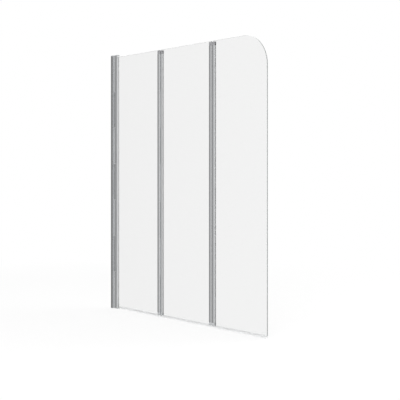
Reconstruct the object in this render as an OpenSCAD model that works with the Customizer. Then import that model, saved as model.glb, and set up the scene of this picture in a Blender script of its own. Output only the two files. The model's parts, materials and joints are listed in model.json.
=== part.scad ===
// Folding bath screen: three glass panels on a wall profile, which fold like a concertina and swing in
// over the bath. Millimetres. The back of the wall profile is the plane x = 0, the bath rim is z = 0,
// the glass lies in the plane y = 0, and +Y is the bath's side.

/* [Screen] */
// Height of the wall profile above the bath rim
screen_h = 1400; // [1200:10:1500]
// Glass that shows between the wall hinge and the first fold
sight_1 = 352; // [250:1:450]
// Glass that shows between the two folds
sight_2 = 362; // [250:1:450]
// Glass that shows between the second fold and the free edge
sight_3 = 349; // [250:1:450]

/* [Glass] */
// Thickness of the glass
glass_t = 6; // [5:0.5:8]
// Radius of the free corner at the top
corner_r = 150; // [20:5:240]
// Radius of the free corner at the bottom
foot_corner_r = 4; // [2:0.5:10]
// Height of the glass's lower edge above the bath rim
glass_lift = 13; // [11:0.5:20]
// Drop from the top of the wall profile to the top of the glass
glass_drop = 12; // [8:1:40]

/* [Wall profile] */
// Width of the wall profile, along the wall's normal to the screen
wall_profile_w = 25; // [23:0.5:25]
// Depth of the wall profile, out from the wall
wall_profile_d = 19; // [16:0.5:19.5]
// Thickness of the wall profile's sides
wall_side_t = 2; // [1.5:0.1:2.5]
// Thickness of the wall profile's back, against the wall
wall_back_t = 2.5; // [2:0.1:4]
// Diameter of the holes for the wall screws
wall_hole_d = 5.5; // [4:0.1:7]
// Distance from each end of the screen's height to the nearest wall screw hole
wall_hole_end = 100; // [60:5:200]
// Number of wall screw holes
wall_holes = 4; // [2:1:6]

/* [Adjusting post] */
// Distance from the wall to the back of the post, which slides in the wall profile
post_back = 6; // [5:0.5:9]
// Distance from the wall to the front of the post
post_front = 20; // [19.5:0.1:20.5]
// Thickness of the post's walls
post_wall_t = 2; // [1.5:0.1:3]
// Play between the post and the wall profile, on each side
post_play = 0.3; // [0.1:0.05:0.5]
// Distance from each end of the screen's height to the nearest screw that locks the post
lock_screw_end = 150; // [80:5:300]
// Number of lock screws
lock_screws = 3; // [2:1:5]
// Shank diameter of a lock screw
lock_screw_d = 4; // [3:0.1:5]
// Length of a lock screw under its head
lock_screw_len = 7; // [6:0.5:9]
// Diameter of a lock screw's head
lock_head_d = 8; // [6:0.1:9]
// Thickness of a lock screw's head
lock_head_t = 2.2; // [1.5:0.1:2.5]
// Thickness of the covers over the lock screws
screw_cap_t = 0.9; // [0.6:0.1:1.2]

/* [Wall hinge] */
// Distance from the wall to the axis that the screen swings on
wall_axis_x = 30; // [30:0.5:34]
// Radius of the wall hinge's knuckles
wall_barrel_r = 8.5; // [7.5:0.1:9]
// Diameter of the wall hinge's rod
wall_rod_d = 8; // [6:0.1:9]
// Half width of the necks that carry the wall hinge's knuckles
wall_neck_half = 5; // [3.5:0.5:6]
// Number of knuckles on the wall hinge
wall_knuckles = 7; // [3:2:11]
// Width of the leaf that holds the first glass
wall_leaf_w = 18; // [17.5:0.5:24]

/* [Fold hinges] */
// Width of a fold hinge over both leaves
fold_w = 40; // [36:1:50]
// Gap between the two leaves of a fold hinge
leaf_gap = 1; // [0.8:0.1:1.6]
// Distance from a leaf's widest point to the axis that it folds on
barrel_stand = 3; // [3:0.1:5]
// Radius of a fold hinge's knuckles
fold_barrel_r = 5.5; // [4.5:0.1:6]
// Diameter of a fold hinge's rod
fold_rod_d = 5; // [4:0.1:6]
// Number of knuckles on a fold hinge
fold_knuckles = 7; // [3:2:11]
// Drop from the top of the glass to the top of a fold hinge
fold_drop = 5; // [1:0.5:8]

/* [Glazing channels] */
// Depth of the channel that holds the glass
channel_d = 13.5; // [11:0.5:14]
// Thickness of the channel's walls at the middle of a leaf
channel_wall_t = 3.5; // [3.3:0.1:4]
// Thickness of the gasket on each face of the glass
gasket_t = 1.5; // [1.2:0.1:1.8]
// Thickness of the gasket behind the edge of the glass
gasket_pad_t = 1.5; // [1:0.1:2.5]
// Width of the gasket's bead, outside the channel
gasket_bead = 0.8; // [0.5:0.1:1.2]
// Radius of a leaf's crowned faces
crown_r = 60; // [50:1:120]
// Width and depth of the chamfers and the fine grooves on the profiles
edge_detail = 0.6; // [0.4:0.1:0.8]

/* [Caps, washers and strips] */
// Thickness of the caps on the wall side's profiles
wall_cap_t = 4; // [3:0.5:8]
// Height of the caps on top of the fold hinges
fold_cap_top_t = 17; // [6:0.5:20]
// Height of the caps under the fold hinges
fold_cap_foot_t = 13; // [4:0.5:16]
// Diameter of the pegs that hold the caps in the profiles
peg_d = 2.6; // [2:0.1:2.8]
// Length of those pegs
peg_len = 8; // [5:0.5:14]
// Thickness of the washers between the knuckles
washer_t = 0.8; // [0.5:0.1:1.5]
// Width of the strip that closes the gap between two leaves
strip_w = 3; // [2:0.5:4]
// Depth of the groove that holds this strip
strip_d = 2; // [1.5:0.1:2.5]

/* [Drip seals] */
// Thickness of the seal's clip on each face of the glass
clip_t = 1.4; // [1:0.1:2]
// Height of the clip above the glass's lower edge
clip_h = 12; // [8:0.5:20]
// Thickness of the seal under the glass
seal_base_t = 2.5; // [2:0.1:4]
// Thickness of the lips under the seal
lip_t = 1.2; // [0.8:0.1:1.8]
// How far the drip lip reaches to the bath's side, from the middle of the glass
drip_reach = 7.6; // [6:0.1:8]
// Gap between the lower lip and the bath rim
rim_gap = 1; // [0.5:0.1:3]
// Distance from the end of the last seal to the free edge of the glass
seal_end = 6; // [0:0.5:15]

/* [Hidden] */
// Running clearances
rod_play = 0.05;
peg_play = 0.1;
barrel_play = 0.5;
washer_play = 0.1;
slot_play = 0.3;
joint_play = 0.3;
over = 1;

// Sections shared by all the leaves
channel_half = glass_t / 2 + gasket_t;
leaf_half = channel_half + channel_wall_t;
leaf_w = (fold_w - leaf_gap) / 2;

// Places along the screen
wall_leaf_x0 = wall_axis_x + wall_barrel_r + barrel_play;
wall_leaf_x1 = wall_leaf_x0 + wall_leaf_w;
fold_1_x = wall_leaf_x1 + sight_1 + fold_w / 2;
fold_2_x = fold_1_x + fold_w + sight_2;
free_x = fold_2_x + fold_w / 2 + sight_3;
edge_inset = channel_d - gasket_pad_t;
fold_edge_u = fold_w / 2 - edge_inset;

// Places up the screen
glass_top = screen_h - glass_drop;
cap_z = screen_h - wall_cap_t;
foot_lift = 0.5;
leaf_z0 = foot_lift + wall_cap_t;
leaf_len = cap_z - leaf_z0;
fold_z0 = glass_lift;
fold_z1 = glass_top - fold_drop;
fold_leaf_z0 = fold_z0 + fold_cap_foot_t;
fold_leaf_z1 = fold_z1 - fold_cap_top_t;
fold_leaf_len = fold_leaf_z1 - fold_leaf_z0;

// Hinge sections
barrel_off = leaf_half + barrel_stand;
washer_gap = washer_t + 2 * washer_play;
wall_rod_r = wall_rod_d / 2;
fold_rod_r = fold_rod_d / 2;
arm_inset = 0.5;
strip_inset = 1.5;
strip_mid = leaf_half - strip_w / 2 - strip_inset;

// Screws through the wall profile's side, on the bath's side
side_half = wall_profile_w / 2;
post_half = side_half - wall_side_t - post_play;
side_groove_x = wall_profile_d * 0.75;
lock_screw_x = (post_back + wall_profile_d) / 2;
lock_screw_zs = spread(lock_screw_end, screen_h - lock_screw_end, lock_screws);
wall_hole_zs = spread(wall_hole_end, screen_h - wall_hole_end, wall_holes);

// Evenly spaced heights, both ends included
function spread(low, high, count) = [for (i = [0:count - 1]) low + i * (high - low) / (count - 1)];

alu = "silver";
glass_tint = [0.86, 0.9, 0.9, 0.35];
clear_pvc = [0.85, 0.87, 0.87, 0.6];
cap_grey = "dimgray";
steel = "lightgray";
$fn = 48;

// ---- Knuckles ----

// Length of one of a hinge's knuckles, with a washer's gap between neighbours
function knuckle_len(span, count) = (span - (count - 1) * washer_gap) / count;

// Height of knuckle i's lower face
function knuckle_z(base, span, count, i) = base + i * (knuckle_len(span, count) + washer_gap);

// Draws its children, made one knuckle high, at every second knuckle
module at_knuckles(base, span, count, first) {
    for (i = [first:2:count - 1])
        translate([0, 0, knuckle_z(base, span, count, i)])
            linear_extrude(knuckle_len(span, count))
                children();
}

// Room for the other leaf's knuckles, and for the washers at both ends of each
module knuckle_rooms(base, span, count, first, r) {
    for (i = [first:2:count - 1])
        translate([0, 0, knuckle_z(base, span, count, i) - washer_gap])
            cylinder(r = r, h = knuckle_len(span, count) + 2 * washer_gap);
}

// One washer in the middle of each gap between knuckles
module washers(base, span, count, hole_r, r) {
    for (i = [1:count - 1])
        translate([0, 0, knuckle_z(base, span, count, i) - washer_gap + washer_play])
            linear_extrude(washer_t)
                difference() {
                    circle(r);
                    circle(hole_r);
                }
}

// ---- Leaf sections, with x from the hinge outwards ----

// Square turned to take an edge_detail wide chamfer off a corner that points to side_x and side_y
module chamfer(side_x, side_y) {
    translate([side_x * edge_detail, side_y * edge_detail])
        rotate(45)
            square(3 * edge_detail * sqrt(2), center = true);
}

// Crowned bar from x = 0 to w, chamfered at its four edges
module crowned_bar(w, half) {
    edge_half = half - (w / 2) * (w / 2) / (2 * crown_r);
    difference() {
        intersection() {
            translate([0, -half])
                square([w, 2 * half]);
            translate([w / 2, half - crown_r])
                circle(crown_r, $fn = 120);
            translate([w / 2, crown_r - half])
                circle(crown_r, $fn = 120);
        }
        for (x = [-1, 1], y = [-1, 1])
            translate([(1 + x) * w / 2, y * edge_half])
                chamfer(x, y);
    }
}

// Bar with the glazing channel cut into its outer edge and a fine groove on each face
module leaf_section(w, half) {
    difference() {
        crowned_bar(w, half);
        translate([w - channel_d, -channel_half])
            square([channel_d + over, 2 * channel_half]);
        for (y = [-1, 1])
            translate([w / 2 - edge_detail, y * half - edge_detail])
                square(2 * edge_detail);
        translate([(w - channel_d) / 2, 0])
            circle(peg_d / 2 + peg_play);
    }
}

// Gasket that wraps the glass's edge in the channel, with a bead outside it
module gasket_section(w) {
    bead_half = channel_half - edge_detail;
    difference() {
        union() {
            translate([w - channel_d, -channel_half])
                square([channel_d, 2 * channel_half]);
            translate([w - edge_detail, -bead_half])
                square([gasket_bead + edge_detail, 2 * bead_half]);
        }
        translate([w - edge_inset, -glass_t / 2])
            square([channel_d + over, glass_t]);
    }
}

// Cap's outline over a leaf, open where the glass passes
module cap_section(w, half, slotted) {
    difference() {
        crowned_bar(w, half);
        if (slotted)
            translate([w - edge_inset - slot_play, -glass_t / 2 - slot_play])
                square([channel_d + over, glass_t + 2 * slot_play]);
    }
}

// ---- Wall side ----

module wall_profile() {
    inner_half = side_half - wall_side_t;
    color(alu)
        difference() {
            linear_extrude(cap_z)
                difference() {
                    translate([0, -side_half])
                        square([wall_profile_d, wall_profile_w]);
                    translate([wall_back_t, -inner_half])
                        square([wall_profile_d, 2 * inner_half]);
                    for (y = [-1, 1]) {
                        translate([wall_profile_d, y * side_half])
                            chamfer(1, y);
                        translate([side_groove_x, y * side_half])
                            square(2 * edge_detail, center = true);
                    }
                }
            for (z = wall_hole_zs)
                translate([-over, 0, z])
                    rotate([0, 90, 0])
                        cylinder(d = wall_hole_d, h = wall_back_t + 2 * over);
            for (z = lock_screw_zs)
                translate([lock_screw_x, side_half + over, z])
                    rotate([90, 0, 0])
                        cylinder(d = lock_screw_d + 2 * peg_play, h = wall_side_t + 2 * over);
        }
}

// Neck and knuckle of the wall hinge, reaching back to x
module wall_knuckle_section(x) {
    difference() {
        union() {
            translate([min(x, wall_axis_x), -wall_neck_half])
                square([abs(x - wall_axis_x), 2 * wall_neck_half]);
            translate([wall_axis_x, 0])
                circle(wall_barrel_r);
        }
        translate([wall_axis_x, 0])
            circle(wall_rod_r + rod_play);
    }
}

// Hollow box that slides in the wall profile
module wall_post() {
    color(alu)
        difference() {
            union() {
                translate([0, 0, leaf_z0])
                    linear_extrude(leaf_len)
                        difference() {
                            translate([post_back, -post_half])
                                square([post_front - post_back, 2 * post_half]);
                            translate([post_back + post_wall_t, post_wall_t - post_half])
                                square([post_front - post_back - 2 * post_wall_t, 2 * (post_half - post_wall_t)]);
                        }
                at_knuckles(leaf_z0, leaf_len, wall_knuckles, 0)
                    wall_knuckle_section(post_front - post_wall_t / 2);
            }
            for (z = lock_screw_zs)
                translate([lock_screw_x, post_half + over, z])
                    rotate([90, 0, 0])
                        cylinder(d = lock_screw_d + 2 * rod_play, h = post_wall_t + 2 * over);
        }
}

module post_lock_screws() {
    color(steel)
        for (z = lock_screw_zs)
            translate([lock_screw_x, side_half, z])
                rotate([-90, 0, 0]) {
                    cylinder(d = lock_head_d, h = lock_head_t);
                    translate([0, 0, -lock_screw_len])
                        cylinder(d = lock_screw_d, h = lock_screw_len + lock_head_t / 2);
                }
}

// Snap-on cover over each lock screw's head
module lock_screw_caps() {
    inner_r = lock_head_d / 2 + peg_play;
    inner_t = lock_head_t + peg_play;
    color(alu)
        for (z = lock_screw_zs)
            translate([lock_screw_x, side_half, z])
                rotate([-90, 0, 0])
                    difference() {
                        union() {
                            cylinder(r = inner_r + screw_cap_t, h = inner_t);
                            cylinder(r1 = inner_r + screw_cap_t, r2 = inner_r, h = inner_t + screw_cap_t);
                        }
                        translate([0, 0, -over])
                            cylinder(r = inner_r, h = inner_t + over);
                    }
}

// Outline of the post with its neck and knuckle, undrilled
module post_cap_section() {
    translate([post_back, -post_half])
        square([post_front - post_back, 2 * post_half]);
    translate([post_front - over, -wall_neck_half])
        square([wall_axis_x - post_front + over, 2 * wall_neck_half]);
    translate([wall_axis_x, 0])
        circle(wall_barrel_r);
}

// Covers the wall profile, the post and the last knuckle, with a tongue between profile and post
module wall_top_cap() {
    tongue_x0 = wall_back_t + post_play;
    tongue_x1 = post_back - post_play;
    color(cap_grey) {
        translate([0, 0, cap_z])
            linear_extrude(wall_cap_t) {
                translate([0, -side_half])
                    square([wall_profile_d, wall_profile_w]);
                post_cap_section();
            }
        translate([tongue_x0, -post_half, cap_z - peg_len])
            cube([tongue_x1 - tongue_x0, 2 * post_half, peg_len + over]);
    }
}

// Closes the post's lower end and carries the rod
module post_foot() {
    color(cap_grey)
        translate([0, 0, foot_lift])
            linear_extrude(wall_cap_t)
                post_cap_section();
}

module wall_hinge_rod() {
    color(steel)
        translate([wall_axis_x, 0, leaf_z0])
            cylinder(r = wall_rod_r, h = leaf_len);
}

module wall_hinge_washers() {
    color("white")
        translate([wall_axis_x, 0, 0])
            washers(leaf_z0, leaf_len, wall_knuckles, wall_rod_r + rod_play, wall_barrel_r - barrel_play);
}

// ---- First panel ----

module wall_leaf() {
    color(alu) {
        translate([wall_leaf_x0, 0, leaf_z0])
            linear_extrude(leaf_len)
                leaf_section(wall_leaf_w, leaf_half);
        at_knuckles(leaf_z0, leaf_len, wall_knuckles, 1)
            wall_knuckle_section(wall_leaf_x0 + arm_inset);
    }
}

module wall_leaf_gasket() {
    color(clear_pvc)
        translate([wall_leaf_x0, 0, leaf_z0])
            linear_extrude(leaf_len)
                gasket_section(wall_leaf_w);
}

// Peg of a cap, in the hole that runs up a leaf of this width
module cap_peg(w, z) {
    translate([(w - channel_d) / 2, 0, z])
        cylinder(d = peg_d, h = peg_len + over);
}

module wall_leaf_caps() {
    color(cap_grey)
        translate([wall_leaf_x0, 0, 0]) {
            translate([0, 0, foot_lift])
                linear_extrude(wall_cap_t)
                    cap_section(wall_leaf_w, leaf_half, false);
            cap_peg(wall_leaf_w, leaf_z0 - over);
            translate([0, 0, cap_z])
                linear_extrude(wall_cap_t)
                    cap_section(wall_leaf_w, leaf_half, false);
            cap_peg(wall_leaf_w, cap_z - peg_len);
        }
}

// ---- Glass ----

// Sheet from x0 to x1, with its free corners rounded when x1 is the free edge
module glass_sheet(x0, x1, top_r, foot_r) {
    h = glass_top - glass_lift;
    color(glass_tint)
        translate([0, glass_t / 2, glass_lift])
            rotate([90, 0, 0])
                linear_extrude(glass_t)
                    difference() {
                        translate([x0, 0])
                            square([x1 - x0, h]);
                        if (top_r > 0)
                            translate([x1 - top_r, h - top_r])
                                difference() {
                                    square(top_r + over);
                                    circle(top_r, $fn = 180);
                                }
                        if (foot_r > 0)
                            translate([x1 - foot_r, foot_r])
                                difference() {
                                    translate([0, -foot_r - over])
                                        square(foot_r + over);
                                    circle(foot_r);
                                }
                    }
}

module glass_1() {
    glass_sheet(wall_leaf_x1 - edge_inset, fold_1_x - fold_edge_u, 0, 0);
}

module glass_2() {
    glass_sheet(fold_1_x + fold_edge_u, fold_2_x - fold_edge_u, 0, 0);
}

module glass_3() {
    glass_sheet(fold_2_x + fold_edge_u, free_x, corner_r, foot_corner_r);
}

// ---- Drip seals ----

// Section under the glass, with the wiping lip in the middle and the drip lip on the bath's side
module seal_base_section() {
    half = glass_t / 2 + clip_t;
    base_z = glass_lift - seal_base_t;
    drip_z = (base_z + rim_gap) / 2;
    translate([-half, base_z])
        square([2 * half, seal_base_t]);
    translate([-lip_t / 2, rim_gap])
        square([lip_t, base_z - rim_gap + seal_base_t / 2]);
    polygon([
        [half - lip_t, base_z + seal_base_t / 2],
        [half, base_z + seal_base_t / 2],
        [drip_reach, drip_z],
        [drip_reach - lip_t / 2, drip_z - lip_t / 2],
        [half - lip_t, base_z]
    ]);
}

// The clip's two arms, which grip the faces of the glass
module seal_clip_section() {
    for (y = [-glass_t / 2 - clip_t, glass_t / 2])
        translate([y, glass_lift - seal_base_t / 2])
            square([clip_t, clip_h + seal_base_t / 2]);
}

// Base from x0 to x1 under the hinges, with the clip only where the glass is bare
module drip_seal(x0, x1, clip_x0, clip_x1) {
    color(clear_pvc) {
        translate([x0, 0, 0])
            rotate([90, 0, 90])
                linear_extrude(x1 - x0)
                    seal_base_section();
        translate([clip_x0, 0, 0])
            rotate([90, 0, 90])
                linear_extrude(clip_x1 - clip_x0)
                    seal_clip_section();
    }
}

module drip_seal_1() {
    x0 = wall_leaf_x1 + gasket_bead + joint_play;
    drip_seal(x0, fold_1_x - leaf_gap / 2, x0, fold_1_x - fold_w / 2 - gasket_bead - joint_play);
}

module drip_seal_2() {
    clip_inset = fold_w / 2 + gasket_bead + joint_play;
    drip_seal(fold_1_x + leaf_gap / 2, fold_2_x - leaf_gap / 2, fold_1_x + clip_inset, fold_2_x - clip_inset);
}

module drip_seal_3() {
    clip_x0 = fold_2_x + fold_w / 2 + gasket_bead + joint_play;
    drip_seal(fold_2_x + leaf_gap / 2, free_x - seal_end, clip_x0, free_x - seal_end);
}

// ---- Fold hinges, drawn about their own axis with x outwards and the knuckles on the -Y side ----

// Puts a hinge's inner half, towards the wall, in its place
module inner_half(x, knuckle_side) {
    translate([x, 0, 0])
        mirror([1, 0, 0])
            facing(knuckle_side)
                children();
}

// Puts a hinge's outer half, towards the free edge, in its place
module outer_half(x, knuckle_side) {
    translate([x, 0, 0])
        facing(knuckle_side)
            children();
}

// Turns the knuckles to the bath's side when knuckle_side is 1
module facing(knuckle_side) {
    mirror([0, knuckle_side > 0 ? 1 : 0, 0])
        children();
}

// Arm and knuckle beside a leaf, undrilled
module fold_knuckle_outline() {
    translate([0, -barrel_off])
        square([fold_barrel_r - arm_inset, barrel_stand + channel_wall_t]);
    translate([0, -barrel_off])
        circle(fold_barrel_r);
}

// One half of a fold hinge: first is 0 for the leaf with the end knuckles, 1 for the other
module fold_leaf(first) {
    color(alu)
        difference() {
            union() {
                translate([leaf_gap / 2, 0, fold_leaf_z0])
                    linear_extrude(fold_leaf_len)
                        leaf_section(leaf_w, leaf_half);
                at_knuckles(fold_leaf_z0, fold_leaf_len, fold_knuckles, first)
                    fold_knuckle_outline();
            }
            translate([0, -barrel_off, 0]) {
                knuckle_rooms(
                    fold_leaf_z0, fold_leaf_len, fold_knuckles, 1 - first, fold_barrel_r + barrel_play
                );
                translate([0, 0, fold_leaf_z0 - over])
                    cylinder(r = fold_rod_r + rod_play, h = fold_leaf_len + 2 * over);
            }
            if (first == 0)
                strip_groove();
        }
}

// Groove in the face that meets the other leaf, away from the knuckles
module strip_groove() {
    translate([leaf_gap / 2 - over, strip_mid - strip_w / 2, fold_leaf_z0 - over])
        cube([strip_d + over, strip_w, fold_leaf_len + 2 * over]);
}

module fold_gasket() {
    color(clear_pvc)
        translate([leaf_gap / 2, 0, fold_leaf_z0])
            linear_extrude(fold_leaf_len)
                gasket_section(leaf_w);
}

// One cap's outline: the caps of the half with the end knuckles cover those too
module fold_cap_section(first) {
    if (first == 0)
        fold_knuckle_outline();
    difference() {
        translate([leaf_gap / 2, 0])
            cap_section(leaf_w, leaf_half, true);
        if (first == 1)
            translate([0, -barrel_off])
                circle(fold_barrel_r + barrel_play);
    }
}

module fold_caps(first) {
    color(cap_grey) {
        translate([0, 0, fold_z0])
            linear_extrude(fold_cap_foot_t)
                fold_cap_section(first);
        translate([0, 0, fold_leaf_z1])
            linear_extrude(fold_cap_top_t)
                fold_cap_section(first);
        translate([leaf_gap / 2, 0, 0]) {
            cap_peg(leaf_w, fold_leaf_z0 - over);
            cap_peg(leaf_w, fold_leaf_z1 - peg_len);
        }
    }
}

module fold_rod() {
    color(steel)
        translate([0, -barrel_off, fold_leaf_z0])
            cylinder(r = fold_rod_r, h = fold_leaf_len);
}

module fold_washers() {
    color("white")
        translate([0, -barrel_off, 0])
            washers(
                fold_leaf_z0, fold_leaf_len, fold_knuckles,
                fold_rod_r + rod_play, fold_barrel_r - barrel_play
            );
}

// Soft strip in the groove, which stops short of the other leaf
module fold_strip() {
    color("gray")
        translate([joint_play - leaf_gap / 2, strip_mid - strip_w / 2, fold_leaf_z0])
            cube([strip_d + leaf_gap - joint_play, strip_w, fold_leaf_len]);
}

wall_profile();
wall_post();
post_lock_screws();
lock_screw_caps();
wall_top_cap();
post_foot();
wall_hinge_rod();
wall_hinge_washers();

wall_leaf();
wall_leaf_gasket();
wall_leaf_caps();
glass_1();
drip_seal_1();
inner_half(fold_1_x, -1) fold_leaf(0);  // fold_1_inner_leaf
inner_half(fold_1_x, -1) fold_gasket();  // fold_1_inner_gasket
inner_half(fold_1_x, -1) fold_caps(0);  // fold_1_inner_caps
inner_half(fold_1_x, -1) fold_rod();  // fold_1_rod
inner_half(fold_1_x, -1) fold_washers();  // fold_1_washers
inner_half(fold_1_x, -1) fold_strip();  // fold_1_strip

outer_half(fold_1_x, -1) fold_leaf(1);  // fold_1_outer_leaf
outer_half(fold_1_x, -1) fold_gasket();  // fold_1_outer_gasket
outer_half(fold_1_x, -1) fold_caps(1);  // fold_1_outer_caps
glass_2();
drip_seal_2();
inner_half(fold_2_x, 1) fold_leaf(0);  // fold_2_inner_leaf
inner_half(fold_2_x, 1) fold_gasket();  // fold_2_inner_gasket
inner_half(fold_2_x, 1) fold_caps(0);  // fold_2_inner_caps
inner_half(fold_2_x, 1) fold_rod();  // fold_2_rod
inner_half(fold_2_x, 1) fold_washers();  // fold_2_washers
inner_half(fold_2_x, 1) fold_strip();  // fold_2_strip

outer_half(fold_2_x, 1) fold_leaf(1);  // fold_2_outer_leaf
outer_half(fold_2_x, 1) fold_gasket();  // fold_2_outer_gasket
outer_half(fold_2_x, 1) fold_caps(1);  // fold_2_outer_caps
glass_3();
drip_seal_3();
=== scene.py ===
"""Looks of a folding bath screen: glass, aluminium profiles, hinges, caps and seals, on a plain stage."""
import json
import math

import bmesh
import bpy
from mathutils import Matrix, Vector


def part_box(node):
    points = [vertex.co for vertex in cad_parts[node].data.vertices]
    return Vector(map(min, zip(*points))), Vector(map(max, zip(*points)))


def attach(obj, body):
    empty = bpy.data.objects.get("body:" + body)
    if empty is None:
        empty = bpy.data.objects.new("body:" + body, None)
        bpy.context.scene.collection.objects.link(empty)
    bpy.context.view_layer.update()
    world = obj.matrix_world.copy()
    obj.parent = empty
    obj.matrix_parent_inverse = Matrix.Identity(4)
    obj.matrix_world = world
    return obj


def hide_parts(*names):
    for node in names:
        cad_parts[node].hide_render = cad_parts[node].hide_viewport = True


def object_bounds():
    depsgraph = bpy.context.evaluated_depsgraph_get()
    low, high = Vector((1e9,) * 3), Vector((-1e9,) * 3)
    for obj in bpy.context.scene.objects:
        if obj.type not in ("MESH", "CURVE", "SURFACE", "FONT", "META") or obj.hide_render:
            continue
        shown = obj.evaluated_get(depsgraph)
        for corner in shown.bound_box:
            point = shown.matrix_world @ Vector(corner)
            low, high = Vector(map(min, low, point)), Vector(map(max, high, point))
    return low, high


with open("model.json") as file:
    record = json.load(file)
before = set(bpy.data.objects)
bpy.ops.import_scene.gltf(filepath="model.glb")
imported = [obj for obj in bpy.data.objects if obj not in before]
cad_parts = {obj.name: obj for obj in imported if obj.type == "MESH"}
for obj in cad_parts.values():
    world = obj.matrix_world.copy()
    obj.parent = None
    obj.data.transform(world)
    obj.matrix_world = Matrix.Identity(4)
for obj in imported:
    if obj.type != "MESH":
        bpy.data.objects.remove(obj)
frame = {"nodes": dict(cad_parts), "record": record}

bl_info = {
    "name": "Folding bath screen",
    "version": (1, 0, 0),
    "blender": (4, 5, 0),
    "location": "3D View > Sidebar > Bath screen",
    "description": "Finishes of a folding bath screen, piece by piece, and a plain stage for it",
    "category": "Object",
}

CAD_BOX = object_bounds()
MM = 0.001
# Corners closer than this are one corner
WELD = 0.001 * MM

WALL = "wall"
PANELS = PANEL_1, PANEL_2, PANEL_3 = "panel_1", "panel_2", "panel_3"
FOLDS = (("fold_1", PANEL_1), ("fold_2", PANEL_2))

PAINTED_NODES = {
    "bright aluminium": (
        "fold_1_inner_leaf", "fold_1_outer_leaf", "fold_2_inner_leaf", "fold_2_outer_leaf"),
    # The wall side's aluminium carries painted shade and highlights in bands
    "wall aluminium": ("wall_profile", "wall_post", "wall_leaf"),
    "ground stainless": ("wall_hinge_rod", "fold_1_rod", "fold_2_rod"),
}
GASKETS = (
    # The wall gasket takes the gasket colour painted lighter, against its shade in the recess
    ("wall_leaf_gasket", "glass_1", PANEL_1, "high", "light gasket"),
    ("fold_1_inner_gasket", "glass_1", PANEL_1, "low", "soft gasket"),
    ("fold_1_outer_gasket", "glass_2", PANEL_2, "high", "soft gasket"),
    ("fold_2_inner_gasket", "glass_2", PANEL_2, "low", "soft gasket"),
    ("fold_2_outer_gasket", "glass_3", PANEL_3, "high", "soft gasket"),
)
CAPS = (
    ("wall_top_cap", WALL, "wall_cap"),
    ("post_foot", WALL, "wall_cap"),
    ("wall_leaf_caps", PANEL_1, "wall_cap"),
    ("fold_1_inner_caps", PANEL_1, "fold_cap"),
    ("fold_1_outer_caps", PANEL_2, "fold_cap"),
    ("fold_2_inner_caps", PANEL_2, "fold_cap"),
    ("fold_2_outer_caps", PANEL_3, "fold_cap"),
)


def record_colour(slot):
    """The colour that the packed record gives a material slot"""
    for material in frame["record"]["materials"]:
        if material["slot"] == slot:
            return tuple(material["base_color"][:3])
    raise RuntimeError("the record has no material slot " + slot)


# ---- Settings that a user would change ----

def colour_setting(name, description, default):
    """A colour, whose default can be the name of a material slot of the record"""
    if isinstance(default, str):
        default = record_colour(default)
    return bpy.props.FloatVectorProperty(
        name=name, description=description, default=default, min=0, max=1, subtype="COLOR")


def number_setting(name, description, default, **more):
    """A number, with its unit or subtype and its limits"""
    return bpy.props.FloatProperty(name=name, description=description, default=default, **more)


def length_setting(name, description, default, low, high):
    """A length between two limits, all in mm"""
    return number_setting(name, description, default * MM, min=low * MM, max=high * MM, unit="LENGTH")


def share_setting(name, description, default, low=0, high=1):
    """A share between two limits"""
    return number_setting(name, description, default, min=low, max=high, subtype="FACTOR")


def shade_setting(name, description, default):
    """A tone of painted shade or highlight that a finish's colour is multiplied by"""
    return share_setting(name, description, default, 0.3, 1.35)


class GlassSettings(bpy.types.PropertyGroup):
    """Sizes and tints of the three glass sheets"""

    arris: length_setting("Arris", "Width of the polished arris along every edge", 0.8, 0.2, 1.4)
    corner_radius: length_setting("Corner radius", "Radius of the free corner at the top", 150, 20, 240)
    foot_radius: length_setting("Foot radius", "Radius of the free corner at the bottom", 4, 2, 10)
    dubbed_radius: length_setting(
        "Dubbed radius", "Radius of the corners that hide in the channels", 1.5, 1, 4)
    tint: colour_setting("Tint", "Colour of what shows through the sheets", (0.906, 0.907, 0.906))
    # Painted shade: the dark rims of upright edges stand in for light running through the sheet's depth
    rim_tint: colour_setting(
        "Rim tint", "Colour of the rims of upright edges, which show the depth of the sheet",
        (0.38, 0.395, 0.39))
    # Painted shade on the ground arrises of upright edges
    arris_tint: colour_setting(
        "Arris tint", "Colour of the fine arrises on both sides of upright edges", (0.6, 0.61, 0.605))
    # Painted light: rims and arrises along the top and the bottom are lighter than upright ones
    level_painted_light: colour_setting(
        "Level edge tint", "Colour of rims and arrises along the top and the bottom", (0.88, 0.89, 0.885))


class MetalSettings(bpy.types.PropertyGroup):
    """Colours and grain of the aluminium and of the stainless steel"""

    aluminium: colour_setting("Aluminium", "Colour of the bright anodised profiles", "profile")
    # Painted shade: the wall profile's sides are darkened in place of their darker reflections
    wall_painted_shade: shade_setting("Wall profile shade", "Tone of the wall profile's thicker anodising", 0.74)
    # Painted highlight along the fronts of the wall profile and its post
    lip_painted_highlight: shade_setting(
        "Front lip shade", "Tone of the polished fronts of the wall profile and its post", 1.25)
    # Painted shade: darkens the knuckles of the hinge at the wall
    knuckle_painted_shade: shade_setting(
        "Wall knuckle shade", "Tone of the knuckles of the hinge at the wall", 0.86)
    # Painted reflection: lightens the leaf of the hinge at the wall
    leaf_painted_highlight: shade_setting(
        "Wall leaf shade", "Tone of the polished leaf of the hinge at the wall", 1.2)
    steel: colour_setting("Steel", "Colour of the rods and screws", "steel")
    edge_radius: length_setting(
        "Edge radius", "Radius that catches the light along the profiles' edges", 0.25, 0.05, 0.6)
    grain: share_setting("Grain", "Strength of the lines left by drawing and grinding", 0.35)


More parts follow.
